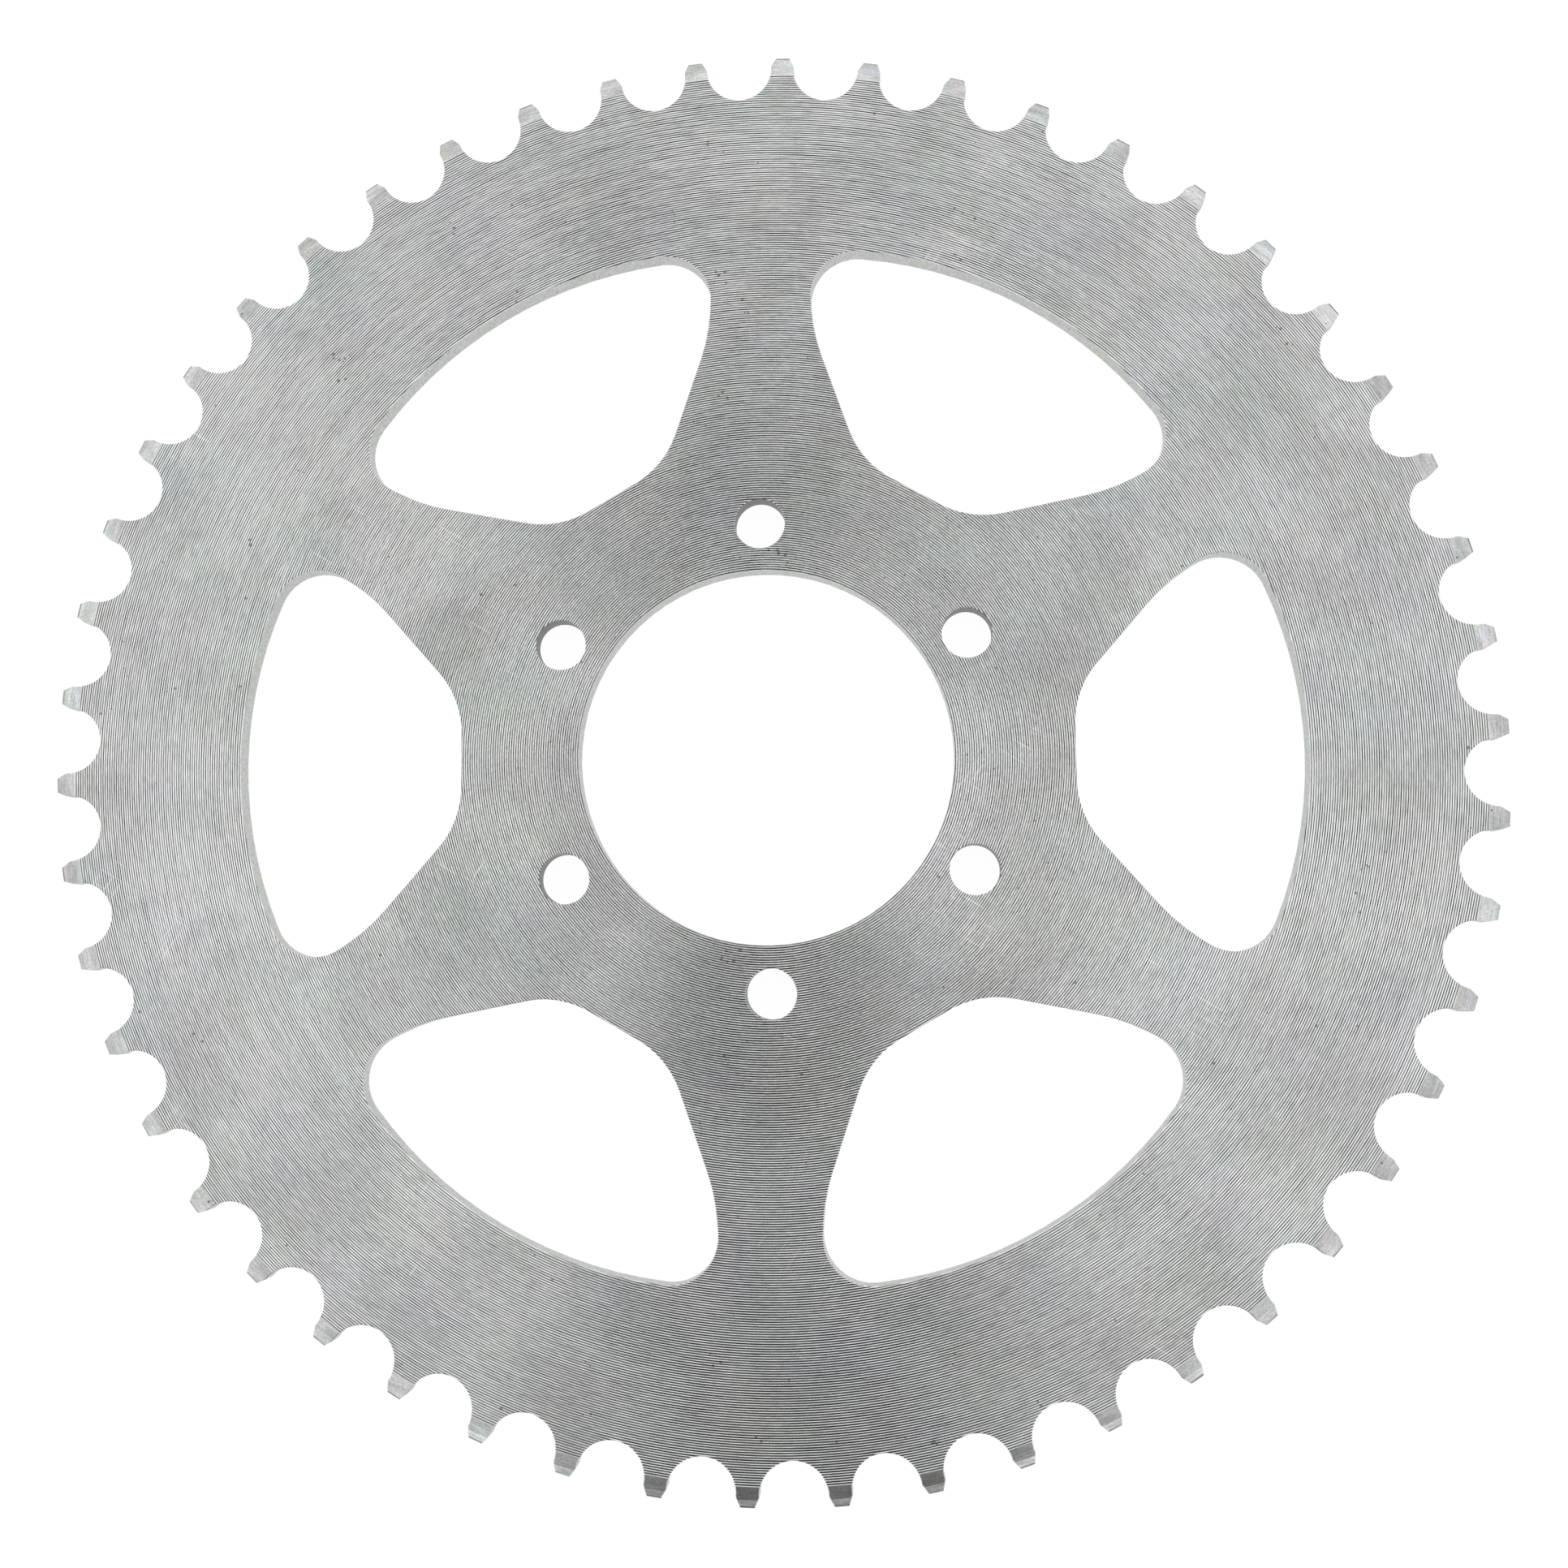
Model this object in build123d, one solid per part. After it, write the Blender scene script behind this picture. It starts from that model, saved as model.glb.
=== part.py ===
from build123d import *
from math import asin, atan2, cos, degrees, dist, pi, radians, sin, tan
import os

# One-piece steel rear sprocket for a 520 roller chain. Lengths are in mm and angles in degrees.
# The axis is +Z. The back face lies on z = 0, and the front face looks up at z = plate_thickness.

# Chain and tooth ring
chain_pitch = 15.875
roller_diameter = 10.16
tooth_count = 50
tooth_height = 8.25  # from the floor of a roller seat to the tooth tip
seat_radius = 5.95  # opened out past the roller, so that mud is pressed clear
flank_height = 0.2  # straight side of a tooth between its seat and its sloping corner
tip_width = 2.55  # flat land on the end of a tooth

# Plate, and the two turned bevels that thin each tooth from both faces
plate_thickness = 5.8
lead_bevel_length = 2.3
lead_bevel_depth = 0.5
tip_bevel_length = 1.5
tip_bevel_depth = 0.95

# Hub
bore_diameter = 67.0
bolt_hole_diameter = 9.0
bore_land = 4.0  # metal between the bore and a bolt hole
hub_land = 8.2  # metal between a bolt hole and the windows' inner edges

# Windows and spokes. The rim is the band between the windows and the roller seats.
spoke_count = 6  # one bolt hole at the foot of each spoke
rim_width = 26.2
window_foot_width = 22.2  # straight inner edge of a window, before its shoulders are rounded
spoke_waist = 19.0  # width of a spoke where its two sides bend
waist_depth = 17.6  # from the middle of a window's outer edge in to the level of the waists
upper_flank_angle = 3.2  # slope of a spoke's side above the waist, from its centre line
crown_radius = 76.0  # the windows' long outer edge
corner_radius = 8.4
waist_fillet_radius = 33.0
shoulder_fillet_radius = 16.5

# The plate is drilled, cut out and toothed in three set-ups, each turned a little from the last.
window_clocking = -0.8  # from the bolt holes
tooth_clocking = 0.8

pitch_radius = chain_pitch / (2 * sin(pi / tooth_count))
root_radius = pitch_radius - roller_diameter / 2
tip_radius = root_radius + tooth_height
half_tooth_angle = pi / tooth_count
bolt_circle_diameter = bore_diameter + 2 * bore_land + bolt_hole_diameter
window_inner = (bolt_circle_diameter + bolt_hole_diameter) / 2 + hub_land
window_outer = root_radius - rim_width
waist_radius = window_outer - waist_depth
spoke_angle = 180 / spoke_count  # from a window's centre line to the spoke beside it


def turned_blank():
    # Half section of the disc, from the bore out to the tooth tips, with both bevels on each face.
    tip_start = tip_radius - tip_bevel_length
    lower_edge = [
        (bore_diameter / 2, 0),
        (tip_start - lead_bevel_length, 0),
        (tip_start, lead_bevel_depth),
        (tip_radius, lead_bevel_depth + tip_bevel_depth),
    ]
    upper_edge = [(r, plate_thickness - z) for r, z in reversed(lower_edge)]
    section = make_face(Polyline(*lower_edge, *upper_edge, close=True))
    return revolve(Plane.XZ * section, Axis.Z)


def mirrored_outline(side):
    # A face between this side, listed outward from the axis, and its mirror image across X.
    far_side = [(x, -y) for x, y in reversed(side)]
    return make_face(Polyline(*side, *far_side, close=True))


def tooth_gap():
    # The space between two teeth, about the +X axis: a round seat, whose sides rise straight past
    # its centre and then lean out along the corners of the two tooth ends.
    seat_centre = root_radius + seat_radius
    corner_start = seat_centre + flank_height
    land_x = tip_radius * cos(half_tooth_angle) + tip_width / 2 * sin(half_tooth_angle)
    land_y = tip_radius * sin(half_tooth_angle) - tip_width / 2 * cos(half_tooth_angle)
    slope = (land_y - seat_radius) / (land_x - corner_start)
    mouth_x = tip_radius + tooth_height / 2
    mouth_y = seat_radius + slope * (mouth_x - corner_start)
    side = [(seat_centre, seat_radius), (corner_start, seat_radius), (mouth_x, mouth_y)]
    return mirrored_outline(side) + Pos(seat_centre, 0) * Circle(seat_radius)


def fitting_radius(wanted, wall, turn):
    # A fillet keeps its radius unless its tangents would run off this length of wall.
    return min(wanted, 0.95 * wall / tan(radians(turn) / 2))


def window():
    # One lightening window, about the +X axis. Its flanks bend at the waists of the two spokes
    # beside it, and a shallow crown closes it under the rim.
    waist_angle = radians(spoke_angle) - asin(spoke_waist / 2 / waist_radius)
    foot = (window_inner, window_foot_width / 2)
    waist = (waist_radius * cos(waist_angle), waist_radius * sin(waist_angle))
    upper_slope = spoke_angle + upper_flank_angle
    reach = root_radius - waist[0]
    head = (root_radius, waist[1] + reach * tan(radians(upper_slope)))
    flanks = mirrored_outline([foot, waist, head])

    lower_slope = degrees(atan2(waist[1] - foot[1], waist[0] - foot[0]))
    half_flank = dist(foot, waist) / 2
    shoulder_wall = min(foot[1], half_flank)
    shoulder = fitting_radius(shoulder_fillet_radius, shoulder_wall, 90 - lower_slope)
    bend = fitting_radius(waist_fillet_radius, half_flank, lower_slope - upper_slope)
    corners = flanks.vertices().sort_by(Axis.X)
    flanks = fillet(corners[0:2], shoulder)
    flanks = fillet(flanks.vertices().sort_by(Axis.X)[4:6], bend)

    crown = Pos(window_outer - crown_radius, 0) * Circle(crown_radius)
    opening = flanks & crown
    # Drawn in and let out again, which leaves both outer corners round.
    return offset(offset(opening, -corner_radius), corner_radius)


def around(count, start_angle):
    # Places evenly spaced round the axis, each turned to face outward.
    return PolarLocations(0, count, start_angle)


bolt_hole = Pos(bolt_circle_diameter / 2, 0) * Circle(bolt_hole_diameter / 2)
cuts = [
    around(tooth_count, 90 + tooth_clocking) * tooth_gap(),
    around(spoke_count, 90 - spoke_angle + window_clocking) * window(),
    around(spoke_count, 90) * bolt_hole,
]

sprocket_plate = turned_blank()
for cut in cuts:
    sprocket_plate -= extrude(Sketch() + cut, plate_thickness)
sprocket_plate.label = "sprocket_plate"
sprocket_plate.color = Color(0.62, 0.64, 0.64)

os.makedirs("parts", exist_ok=True)
export_step(sprocket_plate, "parts/sprocket_plate.step")
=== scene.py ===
import math

import bmesh
import bpy
from mathutils import Matrix, Vector


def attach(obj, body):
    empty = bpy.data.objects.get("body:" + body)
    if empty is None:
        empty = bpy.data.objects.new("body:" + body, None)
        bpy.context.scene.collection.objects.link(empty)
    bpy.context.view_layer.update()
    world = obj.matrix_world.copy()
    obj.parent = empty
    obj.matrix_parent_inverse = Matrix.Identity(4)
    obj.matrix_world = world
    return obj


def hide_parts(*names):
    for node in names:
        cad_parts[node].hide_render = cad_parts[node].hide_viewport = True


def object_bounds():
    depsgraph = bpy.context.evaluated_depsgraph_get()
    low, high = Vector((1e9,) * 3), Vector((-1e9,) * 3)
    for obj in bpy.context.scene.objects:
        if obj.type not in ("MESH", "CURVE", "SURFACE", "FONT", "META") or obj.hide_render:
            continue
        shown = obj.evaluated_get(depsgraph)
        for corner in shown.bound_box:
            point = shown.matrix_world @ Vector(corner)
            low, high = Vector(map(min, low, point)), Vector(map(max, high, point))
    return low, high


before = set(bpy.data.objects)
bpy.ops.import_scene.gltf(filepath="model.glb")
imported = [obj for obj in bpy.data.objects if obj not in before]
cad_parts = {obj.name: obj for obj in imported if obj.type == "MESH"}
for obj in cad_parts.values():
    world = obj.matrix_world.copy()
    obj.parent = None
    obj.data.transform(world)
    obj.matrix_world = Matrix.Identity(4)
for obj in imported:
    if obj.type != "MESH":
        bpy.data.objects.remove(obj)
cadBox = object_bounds()
scene = bpy.context.scene
print("frame loaded:", sorted(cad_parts))


# shader tree helpers

def newMaterial(name):
    material = bpy.data.materials.new(name)
    material.use_nodes = True
    material.node_tree.nodes.clear()
    return material, material.node_tree


def addNode(tree, kind, **settings):
    node = tree.nodes.new(kind)
    for key, value in settings.items():
        setattr(node, key, value)
    return node


def feed(tree, target, value):
    # a socket is linked, anything else is written on the target
    if isinstance(value, bpy.types.NodeSocket):
        tree.links.new(value, target)
    elif value is not None:
        target.default_value = value


def calc(tree, operation, first, second=None, third=None):
    node = addNode(tree, "ShaderNodeMath", operation=operation)
    for socket, value in zip(node.inputs, (first, second, third)):
        feed(tree, socket, value)
    return node.outputs[0]


def total(tree, *values):
    result = values[0]
    for value in values[1:]:
        result = calc(tree, "ADD", result, value)
    return result


def product(tree, *values):
    result = values[0]
    for value in values[1:]:
        result = calc(tree, "MULTIPLY", result, value)
    return result


def calcVector(tree, operation, first, second=None, scale=None):
    node = addNode(tree, "ShaderNodeVectorMath", operation=operation)
    feed(tree, node.inputs[0], first)
    feed(tree, node.inputs[1], second)
    if scale is not None:
        feed(tree, node.inputs["Scale"], scale)
    return node.outputs["Value"] if operation in ("LENGTH", "DOT_PRODUCT") else node.outputs[0]


def spread(tree, value, fromLow, fromHigh, toLow=0.0, toHigh=1.0):
    node = addNode(tree, "ShaderNodeMapRange", interpolation_type="SMOOTHSTEP")
    for socket, item in zip(node.inputs, (value, fromLow, fromHigh, toLow, toHigh)):
        feed(tree, socket, item)
    return node.outputs["Result"]


def blendColours(tree, factor, first, second, kind="MIX"):
    node = addNode(tree, "ShaderNodeMix", data_type="RGBA", blend_type=kind)
    feed(tree, node.inputs[0], factor)
    feed(tree, node.inputs[6], first)
    feed(tree, node.inputs[7], second)
    return node.outputs[2]


def noise(tree, vector, scale, detail=2.0, rough=0.5):
    node = addNode(tree, "ShaderNodeTexNoise")
    feed(tree, node.inputs["Vector"], vector)
    feed(tree, node.inputs["Scale"], scale)
    node.inputs["Detail"].default_value = detail
    node.inputs["Roughness"].default_value = rough
    return node.outputs


def newGroup(name, inputs, outputs):
    tree = bpy.data.node_groups.new(name, "ShaderNodeTree")
    for label, kind, value in inputs:
        socket = tree.interface.new_socket(label, in_out="INPUT", socket_type="NodeSocket" + kind)
        if value is not None:
            socket.default_value = value
    for label, kind in outputs:
        tree.interface.new_socket(label, in_out="OUTPUT", socket_type="NodeSocket" + kind)
    return tree, addNode(tree, "NodeGroupInput").outputs, addNode(tree, "NodeGroupOutput").inputs


def placeGroup(tree, group, **values):
    node = addNode(tree, "ShaderNodeGroup", node_tree=group)
    for label, value in values.items():
        feed(tree, node.inputs[label], value)
    return node.outputs


# camera, floor and light

cameraLook = {
    "position": (0.01942, -0.0387, 0.43728),
    "aim": (-0.01663, 0.01728, 0.0058),
    "roll": -1.13,  # degrees about the line of sight
    "lens": 55.9,
    "shift": (0.0725, -0.0776),
    "sensor": 36,
    "clip": (0.01, 50),
}


def makeCamera(look):
    data = bpy.data.cameras.new("camera")
    data.lens = look["lens"]
    data.sensor_width = look["sensor"]
    data.shift_x, data.shift_y = look["shift"]
    data.clip_start, data.clip_end = look["clip"]
    camera = bpy.data.objects.new("camera", data)
    scene.collection.objects.link(camera)
    position = Vector(look["position"])
    back = (position - Vector(look["aim"])).normalized()
    right = Vector((0, 1, 0)).cross(back).normalized()
    up = back.cross(right)
    turn = Matrix((right, up, back)).transposed() @ Matrix.Rotation(math.radians(look["roll"]), 3, "Z")
    camera.matrix_world = Matrix.Translation(position) @ turn.to_4x4()
    scene.camera = camera
    scene.view_settings.view_transform = "Standard"


floorLook = {
    "reach": 4.0,
    "squares": 8,
    "below": 0.00002,  # keeps the floor clear of the back face
    "paint": (0.86, 0.86, 0.86, 1),
    "glow": 0.92,  # share that is plain white to the eye; the rest takes the shadow
    "glowLevel": 1.05,
}


def makeFloor(look):
    mesh = bpy.data.meshes.new("floor")
    bm = bmesh.new()
    squares = look["squares"]
    bmesh.ops.create_grid(bm, x_segments=squares, y_segments=squares, size=look["reach"])
    bm.to_mesh(mesh)
    bm.free()
    floor = bpy.data.objects.new("floor", mesh)
    floor.location.z = cadBox[0].z - look["below"]
    scene.collection.objects.link(floor)
    material, tree = newMaterial("paleFloor")
    path = addNode(tree, "ShaderNodeLightPath").outputs
    seen = total(tree, path["Is Camera Ray"], path["Is Glossy Ray"], path["Is Transmission Ray"])
    share = product(tree, calc(tree, "MINIMUM", seen, 1.0), look["glow"])
    matt = addNode(tree, "ShaderNodeBsdfDiffuse")
    matt.inputs["Color"].default_value = look["paint"]
    glow = addNode(tree, "ShaderNodeEmission")
    glow.inputs["Strength"].default_value = look["glowLevel"]
    mixed = addNode(tree, "ShaderNodeMixShader")
    feed(tree, mixed.inputs[0], share)
    feed(tree, mixed.inputs[1], matt.outputs[0])
    feed(tree, mixed.inputs[2], glow.outputs[0])
    feed(tree, addNode(tree, "ShaderNodeOutputMaterial").inputs["Surface"], mixed.outputs[0])
    mesh.materials.append(material)


studioLook = {
    "level": 1.0,
    "gapHeading": 267.0,  # where the unlit gap between the lamps lies, degrees round from +X
    "gapNear": (0.02, 0.22),  # how far out from straight overhead it sets in
    "gapFar": (0.965, 0.995),  # and where the light comes back, low down
    "gapSide": (0.12, 0.34),  # half width of its middle and of its soft edge
    "gapLevel": 0.01,
}


def makeStudio(look):
    world = bpy.data.worlds.new("studio")
    scene.world = world
    world.use_nodes = True
    tree = world.node_tree
    tree.nodes.clear()
    direction = addNode(tree, "ShaderNodeTexCoord").outputs["Generated"]
    heading = math.radians(look["gapHeading"])
    out = calcVector(tree, "DOT_PRODUCT", direction, (math.cos(heading), math.sin(heading), 0))
    aside = calcVector(tree, "DOT_PRODUCT", direction, (-math.sin(heading), math.cos(heading), 0))
    gap = product(
        tree,
        spread(tree, out, *look["gapNear"]),
        spread(tree, out, *look["gapFar"], 1.0, 0.0),
        spread(tree, calc(tree, "ABSOLUTE", aside), *look["gapSide"], 1.0, 0.0),
    )
    light = addNode(tree, "ShaderNodeBackground")
    light.inputs["Color"].default_value = (1, 1, 1, 1)
    feed(tree, light.inputs["Strength"], spread(tree, gap, 0.0, 1.0, look["level"], look["gapLevel"]))
    feed(tree, addNode(tree, "ShaderNodeOutputWorld").inputs["Surface"], light.outputs[0])


makeCamera(cameraLook)
makeFloor(floorLook)
makeStudio(studioLook)
print("camera, floor and light ready")


# effects that the finishes share

def makeRoundGroup():
    # how a point lies on the disc: its radius, the direction outward, and a place that runs
    # round with the lathe, so that what is drawn there is stretched along the cut
    tree, given, out = newGroup(
        "roundTheAxis",
        [("Along", "Float", 8.0), ("Across", "Float", 2400.0)],
        [("Radius", "Float"), ("Outward", "Vector"), ("Swept", "Vector")],
    )
    place = addNode(tree, "ShaderNodeTexCoord").outputs["Object"]
    flat = calcVector(tree, "MULTIPLY", place, (1, 1, 0))
    radius = calcVector(tree, "LENGTH", flat)
    outward = calcVector(tree, "NORMALIZE", flat)
    lift = addNode(tree, "ShaderNodeCombineXYZ")
    feed(tree, lift.inputs["Z"], product(tree, radius, given["Across"]))
    swept = calcVector(tree, "ADD", calcVector(tree, "SCALE", outward, scale=given["Along"]), lift.outputs[0])
    feed(tree, out["Radius"], radius)
    feed(tree, out["Outward"], outward)
    feed(tree, out["Swept"], swept)
    return tree


def makeGrainGroup():
    # fine speckle of bare metal, and slow clouds of tint, both about 1
    tree, given, out = newGroup(
        "metalGrain",
        [("Vector", "Vector", None), ("Grain", "Float", 4200.0), ("Contrast", "Float", 0.5),
         ("Cloud", "Float", 70.0), ("Tint", "Float", 0.05)],
        [("Shade", "Float"), ("Tint", "Color")],
    )
    fine = noise(tree, given["Vector"], given["Grain"], 2.0, 0.65)
    shade = calc(tree, "MULTIPLY_ADD", calc(tree, "SUBTRACT", fine[0], 0.5), given["Contrast"], 1.0)
    clouds = noise(tree, given["Vector"], given["Cloud"], 3.0, 0.6)
    centred = calcVector(tree, "SUBTRACT", clouds["Color"], (0.5, 0.5, 0.5))
    tint = calcVector(tree, "ADD", calcVector(tree, "SCALE", centred, scale=given["Tint"]), (1, 1, 1))
    feed(tree, out["Shade"], shade)
    feed(tree, out["Tint"], tint)
    return tree


scuffLook = {
    "patches": 38.0,
    "lines": ((0.55, 0.56), (2.2, 0.58)),  # heading in radians, and how seldom each set is met
    "patchEdge": 0.08,
    "stretch": (95, 2600, 1),
    "lineWidth": (0.66, 0.76),
    "dots": 760.0,
    "dotSizes": 240.0,
    "dotPick": (0.60, 0.90),
    "dotReach": 0.26,
}


def makeScuffGroup(look):
    # hairline scratches in two directions, only where the plate was knocked, and dark specks
    tree, given, out = newGroup(
        "handlingMarks",
        [("Vector", "Vector", None), ("Amount", "Float", 0.6), ("Specks", "Float", 0.6)],
        [("Scratch", "Float"), ("Speck", "Float")],
    )
    where = noise(tree, given["Vector"], look["patches"], 2.0)[0]
    lines = None
    for turn, low in look["lines"]:
        turned = addNode(tree, "ShaderNodeVectorRotate", rotation_type="Z_AXIS")
        feed(tree, turned.inputs["Vector"], given["Vector"])
        turned.inputs["Angle"].default_value = turn
        drawn = calcVector(tree, "MULTIPLY", turned.outputs[0], look["stretch"])
        line = product(
            tree,
            spread(tree, noise(tree, drawn, 1.0, 1.0)[0], *look["lineWidth"]),
            spread(tree, where, low, low + look["patchEdge"]),
        )
        lines = line if lines is None else calc(tree, "MAXIMUM", lines, line)
    dots = addNode(tree, "ShaderNodeTexVoronoi")
    feed(tree, dots.inputs["Vector"], given["Vector"])
    dots.inputs["Scale"].default_value = look["dots"]
    size = noise(tree, given["Vector"], look["dotSizes"], 0.0)[0]
    reach = spread(tree, size, *look["dotPick"], 0.0, look["dotReach"])
    speck = calc(tree, "LESS_THAN", dots.outputs["Distance"], reach)
    feed(tree, out["Scratch"], product(tree, lines, given["Amount"]))
    feed(tree, out["Speck"], product(tree, speck, given["Specks"]))
    return tree


roundGroup = makeRoundGroup()
grainGroup = makeGrainGroup()
scuffGroup = makeScuffGroup(scuffLook)


def finishMaterial(material, tree, look, colour, normal=None, roughness=None):
    shader = addNode(tree, "ShaderNodeBsdfPrincipled")
    shader.inputs["Metallic"].default_value = 1
    shader.inputs["Roughness"].default_value = look["roughness"]
    feed(tree, shader.inputs["Roughness"], roughness)
    feed(tree, shader.inputs["Base Color"], colour)
    feed(tree, shader.inputs["Normal"], normal)
    feed(tree, addNode(tree, "ShaderNodeOutputMaterial").inputs["Surface"], shader.outputs[0])
    return material


turnedLook = {
    "steel": (0.90, 0.925, 0.915, 1),
    "roughness": 0.24,
    "pitch": 0.000414,  # feed of the facing cut
    "tilt": 0.32,  # steepest slope of a groove's side
    "paintedGrooveShade": 0.93,  # painted shade in the floor of each groove, on top of its own darker tone: how much darker it is
    "grooveWidth": (-0.4, 0.7),
    "ends": 0.12578,  # radius where the facing cut stops
    "runOut": 0.0001,
    "uneven": 0.55,
    "haze": 45.0,
    "hubRadii": (0.055, 0.085),  # the face darkens a little from here in to the hub
    "hubShade": 0.86,
    "scratchLight": 0.35,
}


def makeTurned(look):
    material, tree = newMaterial("turnedSteel")
    place = addNode(tree, "ShaderNodeTexCoord").outputs["Object"]
    lathe = placeGroup(tree, roundGroup, Along=9.0, Across=2400.0)
    shortCut = placeGroup(tree, roundGroup, Along=60.0, Across=4800.0)
    grain = placeGroup(tree, grainGroup, Vector=place, Grain=5200.0, Contrast=0.55, Cloud=60.0, Tint=0.16)
    marks = placeGroup(tree, scuffGroup, Vector=place, Amount=0.8, Specks=0.55)
    phase = product(tree, lathe["Radius"], math.tau / look["pitch"])
    wave = calc(tree, "SINE", phase)
    slope = calc(tree, "COSINE", phase)
    cut = spread(tree, lathe["Radius"], look["ends"] - look["runOut"], look["ends"], 1.0, 0.0)
    # a groove is not equally deep all the way round, nor are its neighbours
    longRun = noise(tree, lathe["Swept"], 1.0, 2.0, 0.6)[0]
    shortRun = noise(tree, shortCut["Swept"], 1.0, 1.0, 0.5)[0]
    haze = noise(tree, place, look["haze"], 3.0, 0.6)[0]
    hub = spread(tree, lathe["Radius"], *look["hubRadii"], look["hubShade"], 1.0)
    depth = spread(tree, longRun, 0.3, 0.7, 1.0 - look["uneven"] / 2, 1.0 + look["uneven"] / 6)
    # painted shade: the floor of each groove is darkened in the colour, partly its own darker tone
    paintedGrooveShade = product(tree, spread(tree, wave, *look["grooveWidth"]), depth, cut, look["paintedGrooveShade"])
    shade = product(
        tree,
        calc(tree, "SUBTRACT", 1.0, paintedGrooveShade),
        grain["Shade"],
        hub,
        spread(tree, haze, 0.3, 0.7, 0.87, 1.08),
        spread(tree, longRun, 0.2, 0.8, 0.84, 1.14),
        spread(tree, shortRun, 0.2, 0.8, 0.80, 1.18),
        calc(tree, "SUBTRACT", 1.0, marks["Speck"]),
    )
    shade = total(tree, shade, product(tree, marks["Scratch"], look["scratchLight"]))
    colour = blendColours(tree, 1.0, look["steel"], grain["Tint"], "MULTIPLY")
    colour = blendColours(tree, 1.0, colour, shade, "MULTIPLY")
    lean = product(tree, slope, cut, look["tilt"], depth)
    facing = addNode(tree, "ShaderNodeNewGeometry").outputs["Normal"]
    tilted = calcVector(tree, "ADD", facing, calcVector(tree, "SCALE", lathe["Outward"], scale=lean))
    return finishMaterial(material, tree, look, colour, calcVector(tree, "NORMALIZE", tilted))


bevelLook = {
    "steel": (0.60, 0.61, 0.60, 1),
    "roughness": 0.3,
    "tipEdgeShadeBand": (0.12915, 0.12945),  # the tip's edge, with a painted dark reflection on some of the teeth
    "tipPick": (0.35, 0.6),
    "tipEdgeShadeDepth": 0.75,
}


def makeBevelled(look):
    material, tree = newMaterial("bevelledSteel")
    place = addNode(tree, "ShaderNodeTexCoord").outputs["Object"]
    lathe = placeGroup(tree, roundGroup, Along=40.0, Across=3600.0)
    perTooth = placeGroup(tree, roundGroup, Along=11.0, Across=260.0)
    grain = placeGroup(tree, grainGroup, Vector=place, Grain=2600.0, Contrast=0.9, Cloud=260.0, Tint=0.22)
    marks = placeGroup(tree, scuffGroup, Vector=place, Amount=0.5, Specks=0.7)
    streak = noise(tree, lathe["Swept"], 1.0, 2.0)[0]
    tooth = noise(tree, perTooth["Swept"], 1.0, 1.0)[0]
    # painted reflection: a dark line along the tip's edge on some of the teeth
    tipEdgeShade = product(
        tree,
        spread(tree, lathe["Radius"], *look["tipEdgeShadeBand"]),
        spread(tree, tooth, *look["tipPick"]),
    )
    shade = product(
        tree,
        grain["Shade"],
        spread(tree, streak, 0.2, 0.8, 0.78, 1.2),
        spread(tree, tooth, 0.3, 0.7, 0.8, 1.15),
        calc(tree, "SUBTRACT", 1.0, marks["Speck"]),
        calc(tree, "SUBTRACT", 1.0, product(tree, tipEdgeShade, look["tipEdgeShadeDepth"])),
    )
    colour = blendColours(tree, 1.0, look["steel"], grain["Tint"], "MULTIPLY")
    colour = blendColours(tree, 1.0, colour, shade, "MULTIPLY")
    return finishMaterial(material, tree, look, colour)


wallLook = {
    "steel": (0.53, 0.55, 0.525, 1),
    "roughness": 0.5,
    "drilled": (0.0355, 0.0475),  # ring of radii that the bolt holes lie in
    # painted shade on the bolt holes' walls
    "drilledShade": 0.34,
    "upright": (1, 1, 0.25),  # draws the grain out along the plate's thickness
}


def makeCutWall(look):
    material, tree = newMaterial("cutWallSteel")
    place = addNode(tree, "ShaderNodeTexCoord").outputs["Object"]
    upright = calcVector(tree, "MULTIPLY", place, look["upright"])
    grain = placeGroup(tree, grainGroup, Vector=upright, Grain=3000.0, Contrast=1.0, Cloud=150.0, Tint=0.08)
    marks = placeGroup(tree, scuffGroup, Vector=place, Amount=0.0, Specks=0.7)
    radius = placeGroup(tree, roundGroup)["Radius"]
    inner, outer = look["drilled"]
    # painted shade: the bolt holes' walls are darkened in the colour
    drilled = product(tree, calc(tree, "GREATER_THAN", radius, inner), calc(tree, "LESS_THAN", radius, outer))
    shade = product(
        tree,
        grain["Shade"],
        calc(tree, "SUBTRACT", 1.0, marks["Speck"]),
        spread(tree, drilled, 0.0, 1.0, 1.0, look["drilledShade"]),
    )
    colour = blendColours(tree, 1.0, look["steel"], grain["Tint"], "MULTIPLY")
    colour = blendColours(tree, 1.0, colour, shade, "MULTIPLY")
    return finishMaterial(material, tree, look, colour)


# the plate

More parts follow.
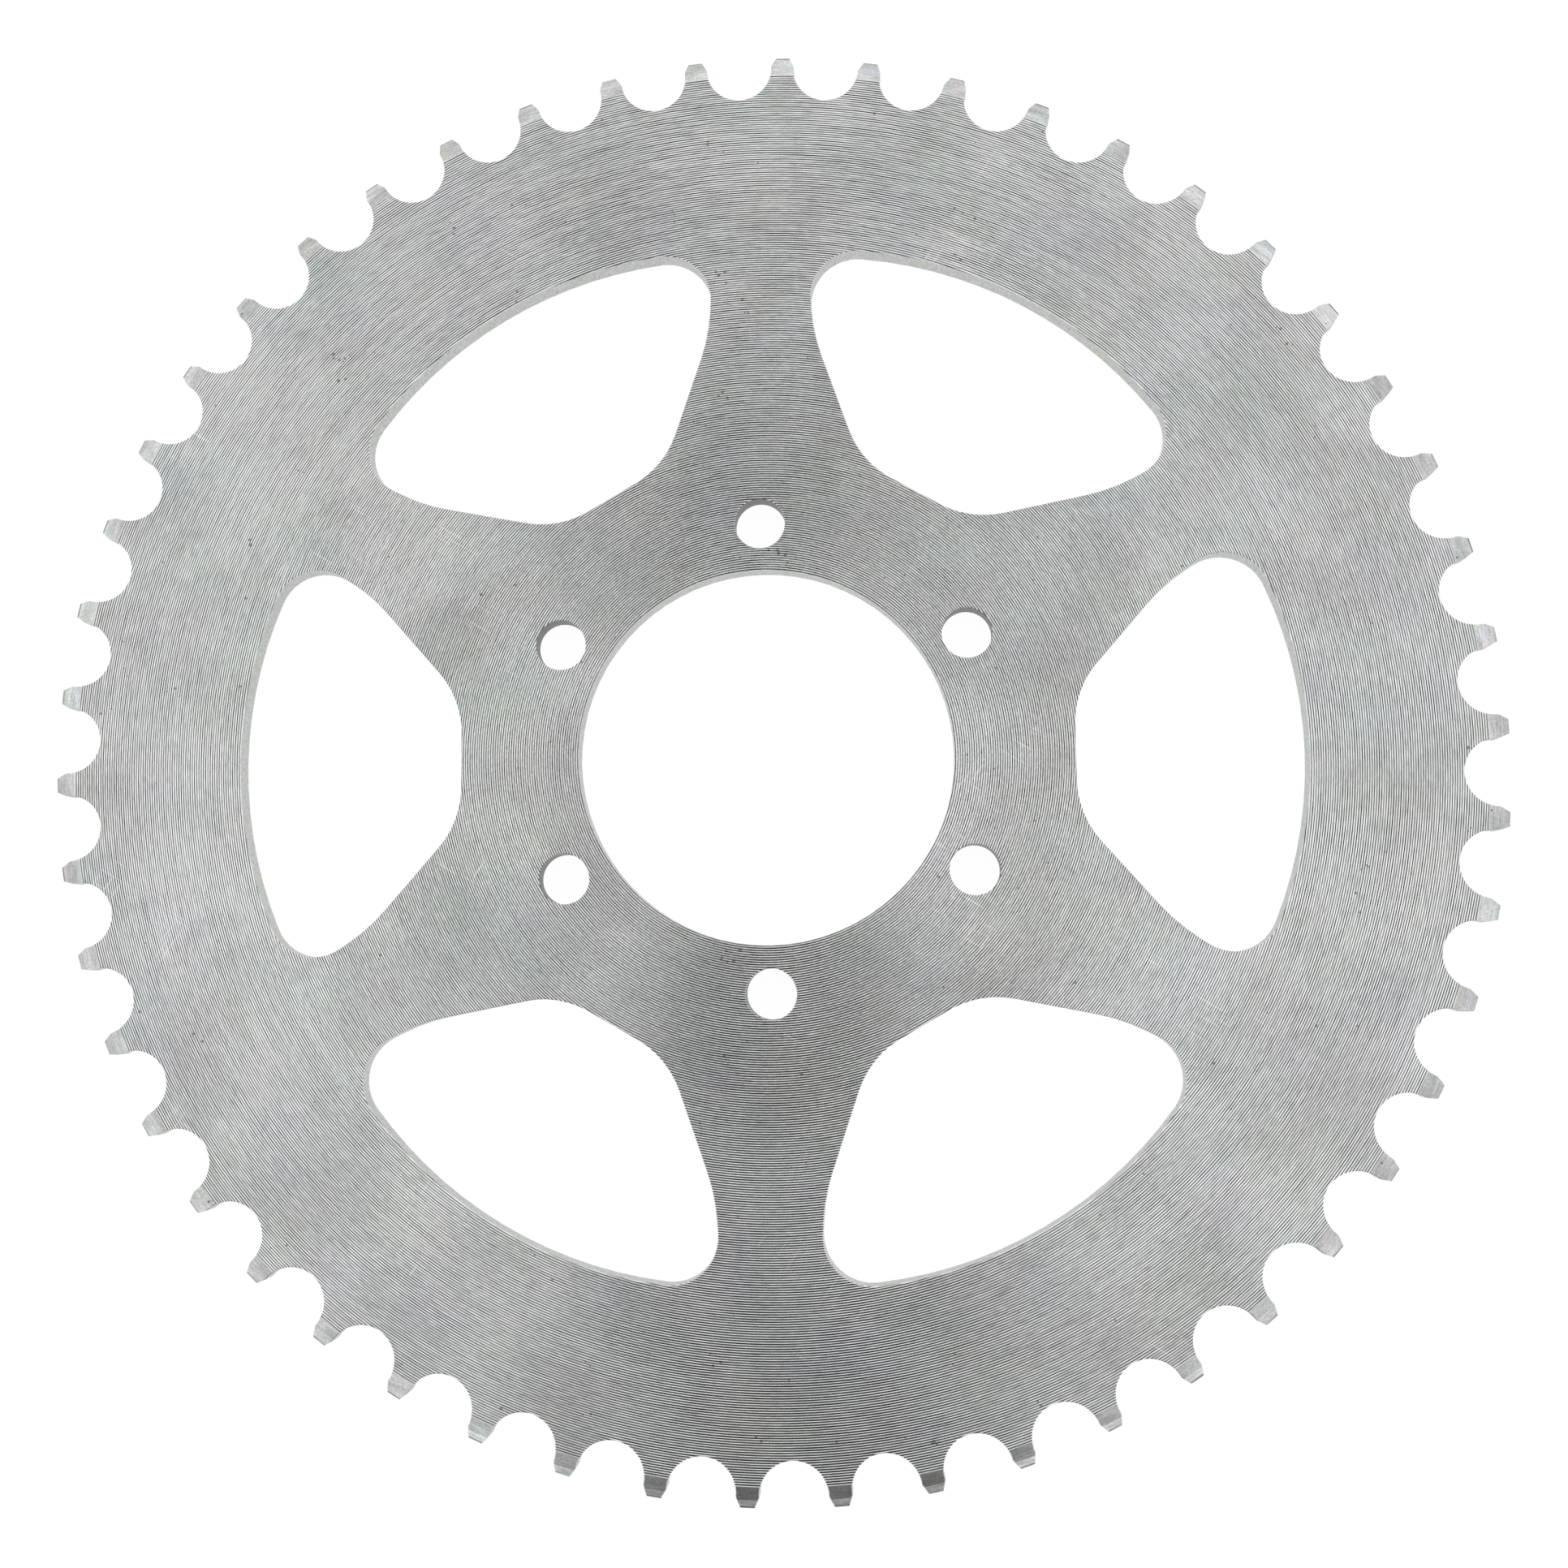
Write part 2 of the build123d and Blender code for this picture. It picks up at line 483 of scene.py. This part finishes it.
plateLook = {
    "merge": 1e-6,
    "flatWithin": 0.5,  # degrees
    "edgeFrom": 25.0,  # degrees between faces where an edge is broken
    "edgeBreak": 0.00013,
    "edgeSteps": 2,
    "bevelFrom": 0.12579,  # radius where the tooth bevels begin
    "wallBelow": 0.35,  # a face this upright or more is a cut wall
    "flatAbove": 0.9999,
    "smoothTo": 12.0,
}


def makePlate(look):
    bm = bmesh.new()
    bm.from_mesh(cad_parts["sprocket_plate"].data)
    bmesh.ops.remove_doubles(bm, verts=bm.verts, dist=look["merge"])
    flat = math.radians(look["flatWithin"])
    bmesh.ops.dissolve_limit(bm, angle_limit=flat, verts=bm.verts, edges=bm.edges)
    bm.normal_update()
    limit = math.radians(look["edgeFrom"])
    sharp = [edge for edge in bm.edges if edge.is_manifold and edge.calc_face_angle(0) > limit]
    bmesh.ops.bevel(
        bm,
        geom=sharp,
        offset=look["edgeBreak"],
        segments=look["edgeSteps"],
        profile=0.5,
        affect="EDGES",
        clamp_overlap=False,
        material=-1,
    )
    bm.normal_update()
    for face in bm.faces:
        face.smooth = True
        flatness = abs(face.normal.z)
        outside = face.calc_center_median().xy.length > look["bevelFrom"]
        bevelled = outside and flatness < look["flatAbove"]
        face.material_index = 2 if flatness < look["wallBelow"] else int(bevelled)
    mesh = bpy.data.meshes.new("sprocketPlate")
    bm.to_mesh(mesh)
    bm.free()
    if "custom_normal" in mesh.attributes:
        mesh.attributes.remove(mesh.attributes["custom_normal"])
    mesh.set_sharp_from_angle(angle=math.radians(look["smoothTo"]))
    for material in (makeTurned(turnedLook), makeBevelled(bevelLook), makeCutWall(wallLook)):
        mesh.materials.append(material)
    plate = bpy.data.objects.new("sprocketPlate", mesh)
    scene.collection.objects.link(plate)
    weighted = plate.modifiers.new("faceNormals", "WEIGHTED_NORMAL")
    weighted.keep_sharp = True
    weighted.weight = 100
    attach(plate, "root")
    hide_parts("sprocket_plate")
    print("plate finished:", len(mesh.polygons), "faces,", len(sharp), "edges broken")


makePlate(plateLook)
